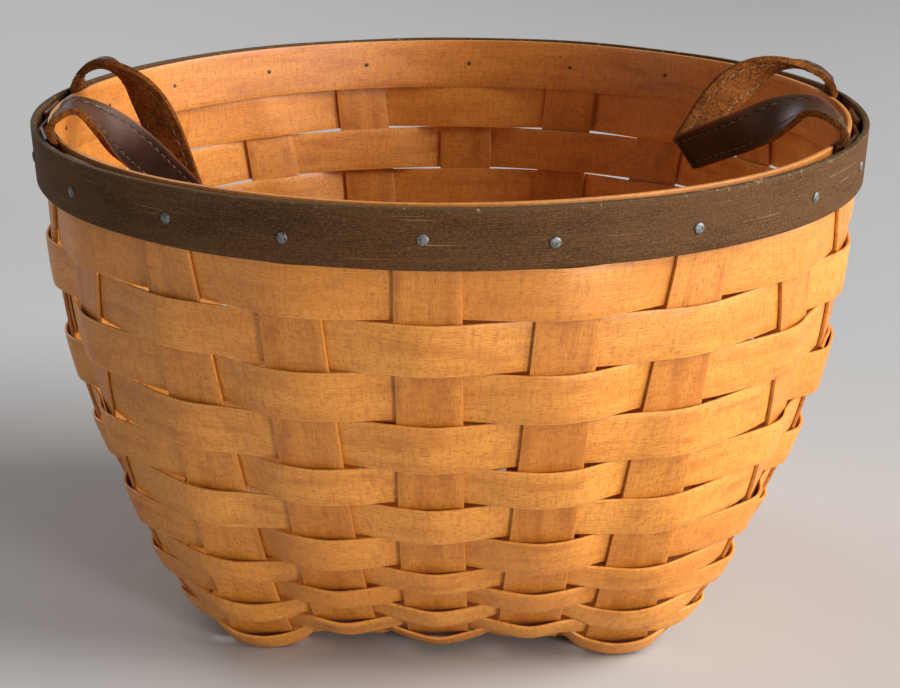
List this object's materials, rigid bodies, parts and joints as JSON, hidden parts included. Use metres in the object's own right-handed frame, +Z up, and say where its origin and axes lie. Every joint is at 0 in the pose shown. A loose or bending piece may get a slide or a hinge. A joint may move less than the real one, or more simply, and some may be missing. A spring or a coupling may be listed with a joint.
{
  "type": "work basket",
  "caption": "Round splint-woven work basket with a square woven base, a banded and tacked rim, and two folded leather ear handles that swing up over the rim.",
  "frame": {"origin": "on the surface that the basket stands on, under the middle of the round rim", "axes": "+Z up, front towards -Y, the two leather ears at +X (right) and -X (left)"},
  "size_m": [0.4408, 0.4408, 0.2855],
  "materials": {
    "splint": "honey-coloured bare wood splint, satin",
    "weaver": "honey-coloured bare wood splint, satin",
    "outer_band": "dark brown stained wood, scuffed",
    "inner_band": "honey-coloured bare wood, light along its top edge",
    "leather": "dark brown waxed strap with stitched rows and rough orange-brown back",
    "tack": "dull grey steel"
  },
  "bodies": {
    "basket": {"splint_front_back_1": "splint", "splint_front_back_2": "splint", "splint_front_back_3": "splint", "splint_front_back_4": "splint", "splint_front_back_5": "splint", "splint_left_right_1": "splint", "splint_left_right_2": "splint", "splint_left_right_3": "splint", "splint_left_right_4": "splint", "splint_left_right_5": "splint", "weaver_01": "weaver", "weaver_02": "weaver", "weaver_03": "weaver", "weaver_04": "weaver", "weaver_05": "weaver", "weaver_06": "weaver", "weaver_07": "weaver", "weaver_08": "weaver", "weaver_09": "weaver", "weaver_10": "weaver", "weaver_11": "weaver", "weaver_12": "weaver", "rim_weaver": "weaver", "outer_band": "outer_band", "inner_band": "inner_band", "rim_tack_01": "tack", "rim_tack_02": "tack", "rim_tack_03": "tack", "rim_tack_04": "tack", "rim_tack_05": "tack", "rim_tack_06": "tack", "rim_tack_07": "tack", "rim_tack_08": "tack", "rim_tack_09": "tack", "rim_tack_10": "tack", "rim_tack_11": "tack", "rim_tack_12": "tack", "rim_tack_13": "tack", "rim_tack_14": "tack", "rim_tack_15": "tack", "rim_tack_16": "tack", "rim_tack_17": "tack", "rim_tack_18": "tack", "rim_tack_19": "tack", "rim_tack_20": "tack", "right_handle_front_tab": "leather", "right_handle_back_tab": "leather", "left_handle_front_tab": "leather", "left_handle_back_tab": "leather"},
    "right_handle": {"right_handle_loop": "leather"},
    "left_handle": {"left_handle_loop": "leather"}
  },
  "joints": [
    {"name": "right_handle_hinge", "type": "hinge", "parent": "basket", "child": "right_handle", "pos_m": [0.20269, -0.01417, 0.26757], "axis": [0.0698, 0.9976, 0], "range_deg": [0, 125]},
    {"name": "left_handle_hinge", "type": "hinge", "parent": "basket", "child": "left_handle", "pos_m": [-0.20208, -0.02124, 0.26757], "axis": [0.1045, -0.9945, 0], "range_deg": [0, 145]}
  ]
}
